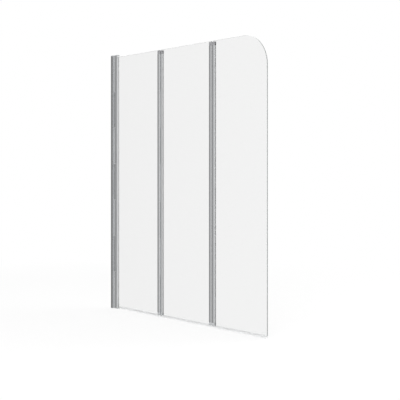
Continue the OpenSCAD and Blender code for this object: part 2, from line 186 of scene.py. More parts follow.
class PlasticSettings(bpy.types.PropertyGroup):
    """Colours of the moulded pieces, gaskets and seals"""

    wall_cap: colour_setting("Wall caps", "Colour of the caps on the wall side", "wall_cap")
    fold_cap: colour_setting("Hinge caps", "Colour of the caps on the fold hinges", "fold_cap")
    cover: colour_setting("Screw covers", "Colour of the snap-on covers", "cover")
    washer: colour_setting("Washers", "Colour of the nylon washers", "washer")
    gasket: colour_setting("Gaskets", "Colour of the glazing gaskets", "gasket")
    # Painted light: a lighter copy of the gasket colour, against the gasket's shade in the recess by the wall
    # leaf
    wall_gasket: colour_setting(
        "Wall gasket", "Colour of the lighter gasket on the wall side", (0.93, 0.935, 0.93))
    strip: colour_setting("Strips", "Colour of the strips between the leaves", "strip")
    seal: colour_setting(
        "Seals", "Colour of what shows through the clips of the drip seals", (0.985, 0.987, 0.987))
    lip: colour_setting(
        "Seal lips", "Colour of the softer, milky bases and lips of the drip seals", (0.955, 0.96, 0.96))
    edge_round: length_setting("Edge round", "Radius of the moulded caps' edges", 0.4, 0.1, 0.8)


class StageSettings(bpy.types.PropertyGroup):
    """Camera, lamps and floor"""

    camera_place: bpy.props.FloatVectorProperty(
        name="Camera place", description="Where the camera stands",
        default=(3.91679, -2.78147, 0.75358), unit="LENGTH")
    camera_turn: number_setting(
        "Camera turn", "Turn of the level camera about the vertical", math.radians(48.82), unit="ROTATION")
    lens: number_setting("Lens", "Focal length on a 36 mm sensor", 77.3145, unit="CAMERA")
    shift: number_setting("Shift", "Upright shift that puts the horizon above the middle", -0.06975)
    ambient: number_setting("Ambient", "Level of the light from all round", 0.72, min=0, max=2)
    key_power: number_setting("Key lamp", "Power of the large lamp in front", 95, min=0, unit="POWER")
    fill_power: number_setting(
        "Fill lamp", "Power of the lamp behind the screen", 55, min=0, unit="POWER")
    floor_shade: share_setting("Floor shade", "How much of its shadow the white floor keeps", 0.16)


def settings_of(group):
    """The settings group of this name: glass, metal, plastic or stage"""
    return getattr(bpy.context.scene, "bath_screen_" + group)


# ---- Node helpers ----

def feed(tree, sockets, values):
    """Gives input sockets their values, or a link where the value is another node's output"""
    for name, value in values.items():
        if isinstance(value, bpy.types.NodeSocket):
            tree.links.new(value, sockets[name])
        else:
            sockets[name].default_value = value


def add_node(tree, kind, values=None, **settings):
    """A node of this kind, with its settings and what feeds its input sockets"""
    node = tree.nodes.new(kind)
    for name, value in settings.items():
        setattr(node, name, value)
    feed(tree, node.inputs, values or {})
    return node


# Types of the node groups' sockets by name; all others are numbers
SOCKET_TYPES = {
    "Colour": "NodeSocketColor", "Section": "NodeSocketGeometry", "Piece": "NodeSocketGeometry",
    "Geometry": "NodeSocketGeometry", "Count": "NodeSocketInt", "Lowest": "NodeSocketVector",
    "Finish": "NodeSocketMaterial"}


def shared_tree(name):
    """The node group of this name, made the first time it is asked for"""
    made = bpy.data.node_groups.get(name)
    if made:
        return made
    kind, filler, inputs, results = TREES[name]
    tree = bpy.data.node_groups.new(name, kind)
    for way, sockets in (("INPUT", inputs), ("OUTPUT", results)):
        for socket in sockets:
            socket_type = SOCKET_TYPES.get(socket, "NodeSocketFloat")
            tree.interface.new_socket(socket, in_out=way, socket_type=socket_type)
    given = tree.nodes.new("NodeGroupInput").outputs
    feed(tree, tree.nodes.new("NodeGroupOutput").inputs, filler(tree, given))
    return tree


def coordinates(tree, kind="Object"):
    """Coordinates of this kind"""
    return add_node(tree, "ShaderNodeTexCoord").outputs[kind]


def parts_of(tree, vector):
    """The X, Y and Z of a vector"""
    return add_node(tree, "ShaderNodeSeparateXYZ", {"Vector": vector}).outputs


def noise(tree, vector, scale, detail, roughness=0.6):
    """Value of a noise on a vector"""
    values = {"Vector": vector, "Scale": scale, "Detail": detail, "Roughness": roughness}
    return add_node(tree, "ShaderNodeTexNoise", values).outputs["Fac"]


def calculated(tree, operation, *operands):
    """Result of an operation on one or two values"""
    return add_node(tree, "ShaderNodeMath", dict(enumerate(operands)), operation=operation).outputs["Value"]


def mapped(tree, value, start, end, low=0.0, high=1.0):
    """A value taken from the range start to end to the range low to high"""
    return add_node(tree, "ShaderNodeMapRange", {
        "Value": value, "From Min": start, "From Max": end, "To Min": low, "To Max": high}).outputs["Result"]


def mixed_value(tree, factor, first, second):
    """A value that goes over from one to another"""
    values = {"Factor": factor, "A": first, "B": second}
    return add_node(tree, "ShaderNodeMix", values, data_type="FLOAT").outputs["Result"]


def mixed_shader(tree, factor, first, second):
    """A shader that goes over from one to another"""
    return add_node(tree, "ShaderNodeMixShader", {"Fac": factor, 1: first, 2: second}).outputs["Shader"]


def banded(tree, value, low, high, stops):
    """Level along (place, level) stops, whose first and last place stand for a value of low and of high"""
    ramp = add_node(tree, "ShaderNodeValToRGB", {"Fac": mapped(tree, value, low, high)})
    marks = ramp.color_ramp.elements
    while len(marks) < len(stops):
        marks.new(0.5)
    first, last = stops[0][0], stops[-1][0]
    for mark, (place, level) in zip(marks, stops):
        mark.position = (place - first) / (last - first)
        mark.color = (level, level, level, 1)
    return ramp.outputs["Color"]


def tone(tree, colour, factor):
    """A colour multiplied by a factor"""
    values = {"Vector": colour, "Scale": factor}
    return add_node(tree, "ShaderNodeVectorMath", values, operation="SCALE").outputs["Vector"]


def varied(tree, colour, value, start, end, variation):
    """A colour made darker or lighter by a share, as a value goes from start to end"""
    darkest = calculated(tree, "SUBTRACT", 1.0, variation)
    lightest = calculated(tree, "ADD", 1.0, variation)
    return tone(tree, colour, mapped(tree, value, start, end, darkest, lightest))


# ---- Effects that several finishes share ----

# Share of slow clouds in the grain, and how much of the grain's strength shows as shade
CLOUD_SHARE, SHADE_SHARE = 0.12, 0.16


def drawn_grain(tree, given):
    """Fine lines along Z that a die or a grinding belt leaves: a shade of colour, a roughness, a height"""
    place = coordinates(tree)
    along = add_node(tree, "ShaderNodeCombineXYZ", {"X": 1.0, "Y": 1.0, "Z": given["Stretch"]})
    spread = add_node(
        tree, "ShaderNodeVectorMath", {0: place, 1: along.outputs["Vector"]}, operation="MULTIPLY")
    lines = noise(tree, spread.outputs["Vector"], given["Lines per metre"], detail=3.0, roughness=0.65)
    clouds = noise(tree, place, scale=9.0, detail=2.0)
    mixed = mixed_value(tree, CLOUD_SHARE, lines, clouds)
    variation = calculated(tree, "MULTIPLY", given["Strength"], SHADE_SHARE)
    return {
        "Colour": varied(tree, given["Colour"], mixed, 0.0, 1.0, variation),
        "Roughness": mapped(tree, mixed, 0.3, 0.7, given["Smooth"], given["Rough"]),
        "Height": lines}


def moulded_texture(tree, given):
    """Spark-eroded texture of a moulded piece: slight clouds of colour, a roughness, pits"""
    place = coordinates(tree)
    pits = add_node(
        tree, "ShaderNodeTexVoronoi", {"Vector": place, "Scale": given["Pits per metre"], "Randomness": 1.0},
        feature="F1")
    clouds = noise(tree, place, scale=55.0, detail=3.0)
    return {
        "Colour": varied(tree, given["Colour"], clouds, 0.25, 0.75, given["Variation"]),
        "Roughness": mapped(tree, clouds, 0.2, 0.8, given["Smooth"], given["Rough"]),
        "Height": pits.outputs["Distance"]}


def slow_wave(tree, given):
    """Long shallow waves and faint dried film of glass and clear plastic: a roughness and a height"""
    place = coordinates(tree)
    film = noise(tree, place, scale=14.0, detail=4.0)
    return {
        "Roughness": mapped(tree, film, 0.45, 0.75, given["Clean"], given["Film"]),
        "Height": noise(tree, place, given["Waves per metre"], detail=1.0, roughness=0.3)}


def effect(tree, name, values):
    """Results of the shared effect of this name, placed in a finish with its own values"""
    return add_node(tree, "ShaderNodeGroup", values, node_tree=shared_tree(name)).outputs


# ---- Finishes ----

GRAIN_STRETCH = 0.004
MOULDED_VARIATION = 0.05
GLASS_REFRACTION = 1.5
EDGE_WAVES, EDGE_CLEARNESS = 60.0, 0.3
# Shares of a level edge's slope from which and at which an edge takes the level tint, the painted light that
# makes level edges lighter than upright ones
LEVEL_START, LEVEL_FULL = 0.78, 0.97
# Places of the colour sockets on a mix node, whose names it shares with its other sockets
COLOUR_A, COLOUR_B, COLOUR_RESULT = 6, 7, 2
# Painted shade and highlights on the aluminium of the wall side, in place of its reflections: from and to in
# mm out from the wall, and the setting of the shade
WALL_PAINTED_BANDS = (
    (0, 17.6, "wall_painted_shade"), (18.2, 20.4, "lip_painted_highlight"), (21.4, 38.6, "knuckle_painted_shade"),
    (38.9, 60, "leaf_painted_highlight"))
# Highest painted shade or highlight that the bands can take
SHADE_TOP = 1.5


def opaque(colour):
    """A colour with full alpha"""
    return (*colour, 1.0)


def new_finish(name, colour, shader_values):
    """A node material with its shader, and its colour for the solid view"""
    finish = bpy.data.materials.new(name)
    finish.use_nodes = True
    finish.diffuse_color = opaque(colour)
    shader = finish.node_tree.nodes["Principled BSDF"]
    feed(finish.node_tree, shader.inputs, shader_values)
    return finish, finish.node_tree, shader.inputs


def bump(tree, height, strength, distance, **more):
    """Normal that a height gives"""
    values = {"Strength": strength, "Distance": distance, "Height": height, **more}
    return add_node(tree, "ShaderNodeBump", values).outputs["Normal"]


def metal_finish(name, colour, lines, smooth, rough, painted_shade_of=None):
    """Drawn or ground metal with softly rounded edges, in one tone or in the painted shades and highlights of
    a shade function
    """
    settings = settings_of("metal")
    finish, tree, shader = new_finish(name, colour, {"Metallic": 1.0})
    grain = effect(tree, "drawn grain", {
        "Colour": tone(tree, colour, painted_shade_of(tree, settings)) if painted_shade_of else opaque(colour),
        "Lines per metre": lines, "Stretch": GRAIN_STRETCH, "Strength": settings.grain,
        "Smooth": smooth, "Rough": rough})
    edge = add_node(tree, "ShaderNodeBevel", {"Radius": settings.edge_radius}, samples=4)
    feed(tree, shader, {
        "Base Color": grain["Colour"], "Roughness": grain["Roughness"],
        "Normal": bump(
            tree, grain["Height"], strength=0.15, distance=0.02 * MM, Normal=edge.outputs["Normal"])})
    return finish


def moulded_finish(name, colour, pits, smooth, rough, coat=0.0):
    """Moulded plastic or rubber"""
    finish, tree, shader = new_finish(name, colour, {"Coat Weight": coat})
    texture = effect(tree, "moulded texture", {
        "Colour": opaque(colour), "Pits per metre": pits, "Variation": MOULDED_VARIATION,
        "Smooth": smooth, "Rough": rough})
    feed(tree, shader, {
        "Base Color": texture["Colour"], "Roughness": texture["Roughness"],
        "Normal": bump(tree, texture["Height"], strength=0.25, distance=0.05 * MM)})
    return finish


def clear_finish(name, colour, waves, clean, film, ior, clearness=1.0):
    """Glass or clear plastic"""
    finish, tree, shader = new_finish(name, colour, {
        "Base Color": opaque(colour), "Transmission Weight": clearness, "IOR": ior})
    wave = effect(tree, "slow wave", {"Waves per metre": waves, "Clean": clean, "Film": film})
    feed(tree, shader, {
        "Roughness": wave["Roughness"],
        "Normal": bump(tree, wave["Height"], strength=0.04, distance=0.5 * MM)})
    return finish


def edge_finish(name, tint, clean, film, level_slope):
    """Edge of a sheet in a tint of painted shade, going over to the lighter level tint of painted light where
    the upright part of its normal is near level_slope
    """
    finish = clear_finish(name, tint, EDGE_WAVES, clean, film, GLASS_REFRACTION, EDGE_CLEARNESS)
    tree = finish.node_tree
    slope = calculated(tree, "ABSOLUTE", parts_of(tree, coordinates(tree, "Normal"))["Z"])
    mixed = add_node(tree, "ShaderNodeMix", {
        "Factor": mapped(tree, slope, LEVEL_START * level_slope, LEVEL_FULL * level_slope),
        COLOUR_A: opaque(tint), COLOUR_B: opaque(settings_of("glass").level_painted_light)}, data_type="RGBA")
    feed(tree, tree.nodes["Principled BSDF"].inputs, {"Base Color": mixed.outputs[COLOUR_RESULT]})
    return finish


def wall_painted_shade(tree, settings):
    """Painted shade and highlights on the aluminium of the wall side, in place of its reflections: darker
    sides and knuckles, lighter lips and leaf
    """
    stops = []
    for start, end, shade in WALL_PAINTED_BANDS:
        level = getattr(settings, shade) / SHADE_TOP
        stops += [(start, level), (end, level)]
    from_wall = parts_of(tree, coordinates(tree))["X"]
    return mapped(tree, banded(tree, from_wall, 0, end * MM, stops), 0.0, 1.0, 0.0, SHADE_TOP)


# For each finish its maker, the settings group and the setting of its colour, and the maker's other values
FINISHES = {
    # lines per metre, least and most roughness, painted shade and highlights from place to place
    "bright aluminium": (metal_finish, "metal", "aluminium", 1400.0, 0.12, 0.24),
    # Painted shade and highlights in bands on the wall side's aluminium
    "wall aluminium": (metal_finish, "metal", "aluminium", 1400.0, 0.12, 0.24, wall_painted_shade),
    "ground stainless": (metal_finish, "metal", "steel", 2600.0, 0.2, 0.42),
    # waves per metre, roughness where clean and under a film, refraction, clearness
    "clear glass": (clear_finish, "glass", "tint", 2.5, 0.0, 0.012, GLASS_REFRACTION),
    "clear soft plastic": (clear_finish, "plastic", "seal", 18.0, 0.02, 0.08, 1.1),
    "milky seal lip": (clear_finish, "plastic", "lip", 18.0, 0.3, 0.45, 1.15, 0.78),
    # roughness where clean and under a film, upright part of a level edge's normal
    # Rims and arrises carry painted shade on upright edges and painted light on level ones
    "polished glass rim": (edge_finish, "glass", "rim_tint", 0.2, 0.35, 1.0),
    "ground glass arris": (edge_finish, "glass", "arris_tint", 0.3, 0.45, 0.7),
    # pits per metre, least and most roughness, coat
    "soft gasket": (moulded_finish, "plastic", "gasket", 1800.0, 0.35, 0.55),
    # Gasket colour painted lighter on the wall side, against its shade in the recess
    "light gasket": (moulded_finish, "plastic", "wall_gasket", 1800.0, 0.35, 0.55),
    "soft strip": (moulded_finish, "plastic", "strip", 1800.0, 0.45, 0.65),
    "natural nylon": (moulded_finish, "plastic", "washer", 1500.0, 0.35, 0.5),
    "silver cover": (moulded_finish, "plastic", "cover", 900.0, 0.2, 0.32, 0.3),
    "light grey moulding": (moulded_finish, "plastic", "wall_cap", 2600.0, 0.4, 0.58),
    "dark grey moulding": (moulded_finish, "plastic", "fold_cap", 2600.0, 0.34, 0.52),
}


def finish_of(name):
    """The finish of this name, made the first time it is asked for"""
    made = bpy.data.materials.get(name)
    if made:
        return made
    maker, group, colour, *values = FINISHES[name]
    return maker(name, tuple(getattr(settings_of(group), colour)), *values)


# ---- Mesh helpers ----

SHARP_ANGLE = math.radians(40)
# Heights further apart than this belong to separate solids of a node
SOLID_GAP = 20 * MM


def linked(name, data):
    """An object at the origin in the scene"""
    made = bpy.data.objects.new(name, data)
    bpy.context.scene.collection.objects.link(made)
    return made


def placed(name, mesh, sharp_angle):
    """An object at the origin, smooth but for its sharp edges"""
    mesh.shade_smooth()
    mesh.set_sharp_from_angle(angle=sharp_angle)
    return linked(name, mesh)


def object_from(name, bm, finishes, sharp_angle=SHARP_ANGLE):
    """An object at the origin from a finished bmesh, its faces outwards"""
    bmesh.ops.recalc_face_normals(bm, faces=bm.faces)
    if bm.calc_volume(signed=True) < 0:
        bmesh.ops.reverse_faces(bm, faces=bm.faces)
    mesh = bpy.data.meshes.new(name)
    bm.to_mesh(mesh)
    bm.free()
    for finish in finishes:
        mesh.materials.append(finish)
    return placed(name, mesh, sharp_angle)


def hand_over(piece, body, slot, *nodes):
    """Puts a finished piece on its body, in the place of its frame nodes"""
    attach(piece, body)
    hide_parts(*nodes)


def arc(centre, radius, start, end, steps, rise=None):
    """Points along an arc between two angles in degrees; rise is the second radius of an oval"""
    angles = [math.radians(start + (end - start) * i / steps) for i in range(steps + 1)]
    rise = radius if rise is None else rise
    return [(centre[0] + radius * math.cos(a), centre[1] + rise * math.sin(a)) for a in angles]


def wrap(bm, lower, upper, finish=0, skipped=()):
    """Faces between two rings of as many corners, but for the skipped sides"""
    count = len(lower)
    for i in range(count):
        if i not in skipped:
            j = (i + 1) % count
            bm.faces.new((lower[i], lower[j], upper[j], upper[i])).material_index = finish


def solid_spans(node):
    """Lowest and highest place of each of the solids that a frame node has one above another"""
    heights = sorted(vert.co.z for vert in frame["nodes"][node].data.vertices)
    spans = [[heights[0], heights[0]]]
    for height in heights:
        if height - spans[-1][1] > SOLID_GAP:
            spans.append([height, height])
        spans[-1][1] = height
    return spans


# ---- Geometry trees ----


def joined(tree, *geometries):
    """Several geometries as one"""
    node = add_node(tree, "GeometryNodeJoinGeometry")
    for geometry in geometries:
        tree.links.new(geometry, node.inputs["Geometry"])
    return node.outputs["Geometry"]


def real_geometry(tree, given, geometry):
    """Result of a tree: real geometry with its finish"""
    real = add_node(tree, "GeometryNodeRealizeInstances", {"Geometry": geometry})
    finish = add_node(tree, "GeometryNodeSetMaterial", {
        "Geometry": real.outputs["Geometry"], "Material": given["Finish"]})
    return {"Geometry": finish.outputs["Geometry"]}


def row_of(tree, given, piece):
    """Result of a tree: a piece repeated at even heights up a line"""
    step = add_node(tree, "ShaderNodeCombineXYZ", {"Z": given["Spacing"]})
    line = add_node(tree, "GeometryNodeMeshLine", {
        "Count": given["Count"], "Start Location": given["Lowest"],
        "Offset": step.outputs["Vector"]}, mode="OFFSET")
    row = add_node(tree, "GeometryNodeInstanceOnPoints", {"Points": line.outputs["Mesh"], "Instance": piece})
    return real_geometry(tree, given, row.outputs["Instances"])


def drawn_strip(tree, given):
    """A flat section drawn out along Z into a closed strip"""
    offset = add_node(tree, "ShaderNodeCombineXYZ", {"Z": given["Length"]})
    drawn = add_node(tree, "GeometryNodeExtrudeMesh", {
        "Mesh": given["Section"], "Offset": offset.outputs["Vector"], "Offset Scale": 1.0,
        "Individual": False}, mode="FACES")
    foot = add_node(tree, "GeometryNodeFlipFaces", {"Mesh": given["Section"]})
    welded = add_node(tree, "GeometryNodeMergeByDistance", {
        "Geometry": joined(tree, drawn.outputs["Mesh"], foot.outputs["Mesh"]), "Distance": WELD})
    return real_geometry(tree, given, welded.outputs["Geometry"])


def upright_row(tree, given):
    """A row of the piece as it is"""
    return row_of(tree, given, given["Piece"])


def threaded_row(tree, given):
    """A row of the piece with a thread wound round its shank"""
    turns = calculated(tree, "DIVIDE", given["Thread length"], given["Thread pitch"])
    helix = add_node(tree, "GeometryNodeCurveSpiral", {
        "Resolution": 20, "Rotations": turns, "Start Radius": given["Thread radius"],
        "End Radius": given["Thread radius"], "Height": given["Thread length"]})
    ridge = add_node(tree, "GeometryNodeCurvePrimitiveCircle", {
        "Resolution": 4, "Radius": given["Thread depth"]})
    thread = add_node(tree, "GeometryNodeCurveToMesh", {
        "Curve": helix.outputs["Curve"], "Profile Curve": ridge.outputs["Curve"], "Fill Caps": True})
    laid = add_node(tree, "GeometryNodeTransform", {
        "Geometry": thread.outputs["Mesh"], "Rotation": (math.radians(90), 0.0, 0.0)})
    return row_of(tree, given, joined(tree, given["Piece"], laid.outputs["Geometry"]))


TEXTURE_RESULTS = ("Colour", "Roughness", "Height")
ROW_INPUTS = ("Piece", "Count", "Lowest", "Spacing", "Finish")
# For each node group its kind, the function that fills it, its inputs and its results
TREES = {
    "drawn grain": (
        "ShaderNodeTree", drawn_grain,
        ("Colour", "Lines per metre", "Stretch", "Strength", "Smooth", "Rough"), TEXTURE_RESULTS),
    "moulded texture": (
        "ShaderNodeTree", moulded_texture,
        ("Colour", "Pits per metre", "Variation", "Smooth", "Rough"), TEXTURE_RESULTS),
    "slow wave": ("ShaderNodeTree", slow_wave, ("Waves per metre", "Clean", "Film"), ("Roughness", "Height")),
    "drawn strip": ("GeometryNodeTree", drawn_strip, ("Section", "Length", "Finish"), ("Geometry",)),
    "upright row": ("GeometryNodeTree", upright_row, ROW_INPUTS, ("Geometry",)),
    "threaded row": (
        "GeometryNodeTree", threaded_row,
        (*ROW_INPUTS, "Thread radius", "Thread pitch", "Thread length", "Thread depth"), ("Geometry",)),
}


def grown(name, bm, tree_name, values):
    """A plain mesh object that a geometry tree grows from a bmesh"""
    tree = shared_tree(tree_name)
    seed_mesh = bpy.data.meshes.new(name + "_seed")
    bm.to_mesh(seed_mesh)
    bm.free()
    seed = linked(name + "_seed", seed_mesh)
    modifier = seed.modifiers.new("grow", "NODES")
    modifier.node_group = tree
    identifiers = {
        item.name: item.identifier for item in tree.interface.items_tree
        if item.item_type == "SOCKET" and item.in_out == "INPUT"}
    for socket, value in values.items():
        modifier[identifiers[socket]] = value
    depsgraph = bpy.context.evaluated_depsgraph_get()
    mesh = bpy.data.meshes.new_from_object(seed.evaluated_get(depsgraph))
    seed.modifiers.remove(modifier)
    bpy.data.objects.remove(seed)
    bpy.data.meshes.remove(seed_mesh)
    if not mesh.vertices:
        raise RuntimeError("the tree " + tree_name + " gave no mesh for " + name)
    mesh.name = name
    return placed(name, mesh, SHARP_ANGLE)


def row_values(spans, x, y, z, finish):
    """Values of a row with a piece for each span, the lowest at this place"""
    return {
        "Count": len(spans), "Lowest": (x, y, z), "Spacing": spans[1][0] - spans[0][0],
        "Finish": finish_of(finish)}


# ---- Profiles and rods: the frame's own solids, with their finish ----

def paint(finish_name):
    """Gives this finish to its frame nodes"""
    for name in PAINTED_NODES[finish_name]:
        for place in frame["nodes"][name].material_slots:
            place.material = finish_of(finish_name)


class BATHSCREEN_OT_profiles(bpy.types.Operator):
    """Finish the aluminium profiles: wall profile, post and the leaves of all the hinges"""

    bl_idname = "bath_screen.profiles"
    bl_label = "Aluminium profiles"

    def execute(self, context):
        paint("bright aluminium")
        # The wall side's aluminium gets painted shade and highlights
        paint("wall aluminium")
        return {"FINISHED"}


class BATHSCREEN_OT_rods(bpy.types.Operator):
    """Finish the stainless rods that the hinges turn on"""

    bl_idname = "bath_screen.rods"
    bl_label = "Hinge rods"

    def execute(self, context):
        paint("ground stainless")
        return {"FINISHED"}


# ---- Glass ----

DUBBED_STEPS, FOOT_STEPS, CORNER_STEPS = 4, 10, 72
# Places of the finishes on a sheet
RIM_FINISH, ARRIS_FINISH = 1, 2


def sheet_outline(low, high, radii, inset, steps):
    """Outline of a sheet with four rounded corners, drawn inwards by inset"""
    corners = (
        (low.x, 1, low.z, 1, 180), (high.x, -1, low.z, 1, 270), (high.x, -1, high.z, -1, 0),
        (low.x, 1, high.z, -1, 90))
    points = []
    for (x, x_side, z, z_side, start), radius, count in zip(corners, radii, steps):
        centre = (x + x_side * radius, z + z_side * radius)
        points += arc(centre, radius - inset, start, start + 90, count)
    return points


def glass_piece(node, body, settings):
    """One sheet with its rim and arrises, each in a finish of its own"""
    low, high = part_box(node)
    radii = [settings.dubbed_radius] * 4
    steps = [DUBBED_STEPS] * 4
    if node == "glass_3":
        radii[1], radii[2] = settings.foot_radius, settings.corner_radius
        steps[1], steps[2] = FOOT_STEPS, CORNER_STEPS
    arris = settings.arris
    rings = []
    bm = bmesh.new()
    for y, inset in ((low.y, arris), (low.y + arris, 0), (high.y - arris, 0), (high.y, arris)):
        outline = sheet_outline(low, high, radii, inset, steps)
        rings.append([bm.verts.new((x, y, z)) for x, z in outline])
    for lower, upper, finish in zip(rings, rings[1:], (ARRIS_FINISH, RIM_FINISH, ARRIS_FINISH)):
        wrap(bm, lower, upper, finish)
    bm.faces.new(rings[0])
    bm.faces.new(rings[-1])
    finishes = [finish_of(name) for name in ("clear glass", "polished glass rim", "ground glass arris")]
    piece = object_from(node + "_sheet", bm, finishes, sharp_angle=math.radians(20))
    hand_over(piece, body, "glass", node)


class BATHSCREEN_OT_glass(bpy.types.Operator):
    """Make the three sheets of glass with their polished arrises"""

    bl_idname = "bath_screen.glass"
    bl_label = "Glass sheets"

    def execute(self, context):
        for number, body in enumerate(PANELS, 1):
            glass_piece(f"glass_{number}", body, context.scene.bath_screen_glass)
        return {"FINISHED"}


# ---- Gaskets and strips ----

GASKET_RELIEF = 0.05 * MM
BEAD_STEPS = 5
NOSE_STEPS = 10
NOSE_SHARE = 0.5


def strip_from(name, outline, low, high, finish):
    """A strip drawn up from an outline in plan, as high as its node"""
    bm = bmesh.new()
    face = bm.faces.new([bm.verts.new((x, y, low.z)) for x, y in outline])
    face.normal_update()
    if face.normal.z < 0:
        face.normal_flip()
    return grown(name, bm, "drawn strip", {"Length": high.z - low.z, "Finish": finish_of(finish)})


def gasket_outline(low, high, glass_edge, glass_half, side):
    """U round the edge of the glass, open towards side, its two beads rounded outside the channel"""
    back, front = (low.x, high.x) if side > 0 else (high.x, low.x)
    slot = glass_half + GASKET_RELIEF
    bead_half = (high.y - slot) / 2
    bead_x = front - side * bead_half
    turn = arc((0, slot + bead_half), bead_half, 90, -90, BEAD_STEPS)
    bead = [(bead_x + side * x, y) for x, y in turn]
    half = [(back, high.y)] + bead + [(glass_edge - side * GASKET_RELIEF, slot)]
    return half + [(x, -y) for x, y in reversed(half)]


def gasket_piece(node, glass_node, body, opens, finish):
    """The gasket in one leaf, round the low or the high edge of its sheet"""
    low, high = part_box(node)
    glass_low, glass_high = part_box(glass_node)
    edge, side = (glass_low.x, 1) if opens == "high" else (glass_high.x, -1)
    outline = gasket_outline(low, high, edge, glass_high.y, side)
    hand_over(strip_from(node + "_strip", outline, low, high, finish), body, "gasket", node)


def closing_strip_piece(fold, body):
    """The soft strip between two leaves, with a rounded nose towards the other leaf"""
    node = fold + "_strip"
    low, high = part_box(node)
    nose_half = (high.y - low.y) / 2
    nose_depth = nose_half * NOSE_SHARE
    nose_centre = (high.x - nose_depth, (high.y + low.y) / 2)
    nose = arc(nose_centre, nose_depth, -90, 90, NOSE_STEPS, rise=nose_half)
    outline = [(low.x, high.y), (low.x, low.y)] + nose
    hand_over(
        strip_from(fold + "_closing_strip", outline, low, high, "soft strip"), body, "strip", node)


class BATHSCREEN_OT_gaskets(bpy.types.Operator):
    """Make the gaskets round the glass's edges and the strips between the leaves"""

    bl_idname = "bath_screen.gaskets"
    bl_label = "Gaskets and strips"

    def execute(self, context):
        for gasket in GASKETS:
            gasket_piece(*gasket)
        for fold, inner_body in FOLDS:
            closing_strip_piece(fold, inner_body)
        return {"FINISHED"}


# ---- Washers, lock screws and their covers ----

def upright(x, y, z):
    """Corner of a turned piece whose axis points to +Z"""
    return (x, y, z)


def sideways(x, y, z):
    """Corner of a turned piece whose axis points to +Y"""
    return (x, z, -y)


def turned(profile, steps, place, closed=False):
    """A bmesh turned from a profile of (radius, height) points, closed or from pole to pole"""
    bm = bmesh.new()
    rings = []
    for radius, height in profile:
        angles = [2 * math.pi * i / steps for i in range(steps)] if radius > 0 else [0.0]
        rings.append([
            bm.verts.new(place(radius * math.cos(a), radius * math.sin(a), height)) for a in angles])
    pairs = list(zip(rings, rings[1:]))
    if closed:
        pairs.append((rings[-1], rings[0]))
    for lower, upper in pairs:
        if len(lower) == len(upper):
            wrap(bm, lower, upper)
            continue
        (pole,), ring = sorted((lower, upper), key=len)
        for i in range(steps):
            bm.faces.new((pole, ring[i], ring[(i + 1) % steps]))
    bmesh.ops.recalc_face_normals(bm, faces=bm.faces)
    return bm


WASHER_EDGE = 0.15 * MM
BORE_RELIEF = 0.05 * MM
TURNED_STEPS = 48


def washers_piece(node, rod_node, body):
    """Washers with rounded edges, one in each gap between knuckles"""
    low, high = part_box(node)
    rod_low, rod_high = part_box(rod_node)
    spans = solid_spans(node)
    thickness = spans[0][1] - spans[0][0]
    outer = (high.x - low.x) / 2
    bore = (rod_high.x - rod_low.x) / 2 + BORE_RELIEF
    e = WASHER_EDGE
    profile = [
        (bore, e), (bore + e, 0), (outer - e, 0), (outer, e),
        (outer, thickness - e), (outer - e, thickness), (bore + e, thickness), (bore, thickness - e)]
    centre = (low + high) / 2
    values = row_values(spans, centre.x, centre.y, spans[0][0], "natural nylon")
    piece = grown(node + "_row", turned(profile, TURNED_STEPS, upright, True), "upright row", values)
    hand_over(piece, body, "washer", node)


SCREW_STEPS = 32
SHANK_RADIUS = 2 * MM
TIP_SHARE = 0.7
TIP_LENGTH = 0.5 * MM
THREAD_DEPTH = 0.3 * MM
THREAD_PITCH = 0.9 * MM
THREAD_STOP = 0.6 * MM
# Share of its depth that the thread rises, so that it stays within the shank's radius
THREAD_SHARE = 0.98
HEAD_RIM_SHARE = 0.28
# Start and end in degrees and steps of a dome's arc, inside which the top is nearly flat
HEAD_ARC = 0, 75, 5
RECESS_HALF = 0.55 * MM
RECESS_REACH = 2.2 * MM
RECESS_DEPTH = 1.3 * MM


def recessed(screw_bm, top):
    """A bmesh of a screw with a cross recess cut into its head, whose top is at this height"""
    screw = object_from("lock_screw_blank", screw_bm, [])
    recess = bmesh.new()
    for half_x, half_z in ((RECESS_REACH, RECESS_HALF), (RECESS_HALF, RECESS_REACH)):
        size = Matrix.Diagonal((2 * half_x, 2 * RECESS_DEPTH, 2 * half_z, 1))
        bmesh.ops.create_cube(recess, size=1.0, matrix=Matrix.Translation((0, top, 0)) @ size)
    cutter = object_from("recess_cutter", recess, [])
    cut = screw.modifiers.new("recess", "BOOLEAN")
    cut.object = cutter
    cut.operation = "DIFFERENCE"
    cut.solver = "EXACT"
    cut.use_self = True
    depsgraph = bpy.context.evaluated_depsgraph_get()
    blank = bpy.data.meshes.new_from_object(screw.evaluated_get(depsgraph))
    bpy.data.objects.remove(screw)
    bpy.data.objects.remove(cutter)
    bm = bmesh.new()
    bm.from_mesh(blank)
    return bm


def lock_screws_piece():
    """Pan-head screws with a cross recess and a thread, screwed in towards -Y"""
    node = "post_lock_screws"
    low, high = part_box(node)
    spans = solid_spans(node)
    seat_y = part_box("wall_profile")[1].y
    head_radius = (high.x - low.x) / 2
    head_height = high.y - seat_y
    head_rim = head_height * HEAD_RIM_SHARE
    core = SHANK_RADIUS - THREAD_DEPTH
    tip = low.y - seat_y
    dome = arc((0, head_rim), head_radius, *HEAD_ARC, rise=head_height * (1 - HEAD_RIM_SHARE))
    profile = [(0, tip), (core * TIP_SHARE, tip), (core, tip + TIP_LENGTH), (core, 0), (head_radius, 0)]
    bm = turned(profile + dome + [(0, head_height)], SCREW_STEPS, sideways)
    centre_x = (low.x + high.x) / 2
    values = row_values(spans, centre_x, seat_y, sum(spans[0]) / 2, "ground stainless")
    piece = grown("lock_screws", recessed(bm, head_height), "threaded row", {
        **values, "Thread radius": core, "Thread pitch": THREAD_PITCH,
        "Thread length": -tip - THREAD_STOP, "Thread depth": THREAD_DEPTH * THREAD_SHARE})
    hand_over(piece, WALL, "steel", node)


